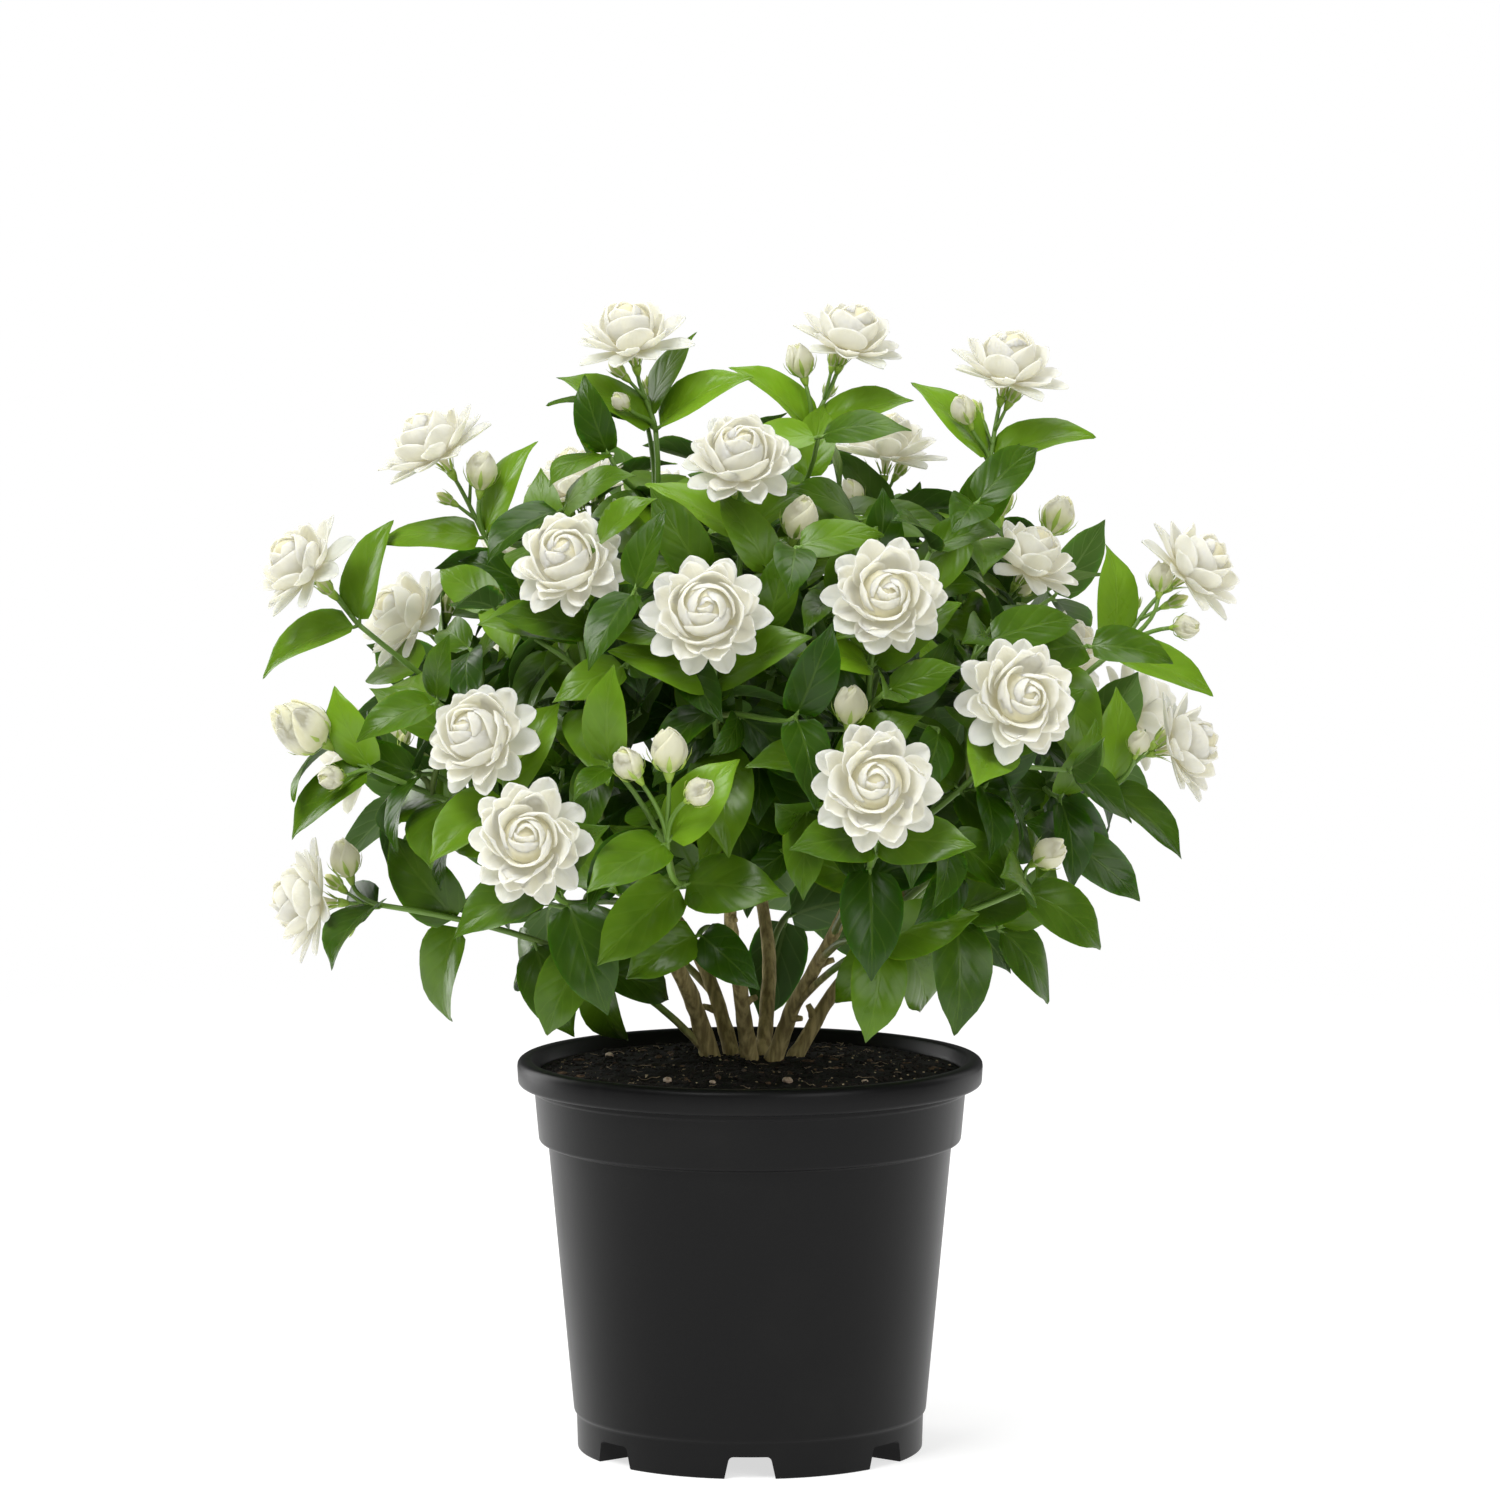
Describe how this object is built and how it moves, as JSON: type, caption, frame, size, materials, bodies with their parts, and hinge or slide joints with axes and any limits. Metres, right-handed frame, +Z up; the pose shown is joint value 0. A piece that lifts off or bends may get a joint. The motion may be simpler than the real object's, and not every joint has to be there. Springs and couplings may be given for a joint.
{
  "type": "potted jasmine",
  "caption": "Rounded bush of double-flowered jasmine in a black nursery pot: woody stems rise from potting soil and carry broad leaves, white rosette blooms and cream buds.",
  "frame": {"origin": "on the pot's axis, on the surface that the pot stands on", "axes": "+Z up, +X to the plant's right as seen from the front, -Y towards the front"},
  "size_m": [0.3963, 0.3663, 0.4695],
  "materials": {
    "black_plastic": "satin moulded plastic",
    "potting_soil": "rough, crumbly",
    "jasmine_green": "glossy leaves on green shoots, with grey-brown bark at the foot",
    "petal_white": "soft, velvety",
    "bud_cream": "soft, waxy"
  },
  "bodies": {
    "root": {"pot": "black_plastic", "soil": "potting_soil", "leafy_stem_left": "jasmine_green", "leafy_stem_middle": "jasmine_green", "leafy_stem_right": "jasmine_green", "leafy_stem_right_back": "jasmine_green", "leafy_stem_back": "jasmine_green", "leafy_stem_left_back": "jasmine_green", "bloom_01": "petal_white", "bloom_02": "petal_white", "bloom_03": "petal_white", "bloom_04": "petal_white", "bloom_05": "petal_white", "bloom_06": "petal_white", "bloom_07": "petal_white", "bloom_08": "petal_white", "bloom_09": "petal_white", "bloom_10": "petal_white", "bloom_11": "petal_white", "bloom_12": "petal_white", "bloom_13": "petal_white", "bloom_14": "petal_white", "bloom_15": "petal_white", "bloom_16": "petal_white", "bloom_17": "petal_white", "bloom_18": "petal_white", "bloom_19": "petal_white", "bloom_20": "petal_white", "bloom_21": "petal_white", "bloom_22": "petal_white", "bloom_23": "petal_white", "bloom_24": "petal_white", "bloom_25": "petal_white", "bloom_26": "petal_white", "bloom_27": "petal_white", "bloom_28": "petal_white", "bloom_29": "petal_white", "bud_01": "bud_cream", "bud_02": "bud_cream", "bud_03": "bud_cream", "bud_04": "bud_cream", "bud_05": "bud_cream", "bud_06": "bud_cream", "bud_07": "bud_cream", "bud_08": "bud_cream", "bud_09": "bud_cream", "bud_10": "bud_cream", "bud_11": "bud_cream", "bud_12": "bud_cream", "bud_13": "bud_cream", "bud_14": "bud_cream", "bud_15": "bud_cream", "bud_16": "bud_cream", "bud_17": "bud_cream", "bud_18": "bud_cream", "bud_19": "bud_cream", "bud_20": "bud_cream", "bud_21": "bud_cream", "bud_22": "bud_cream", "bud_23": "bud_cream"}
  },
  "joints": []
}
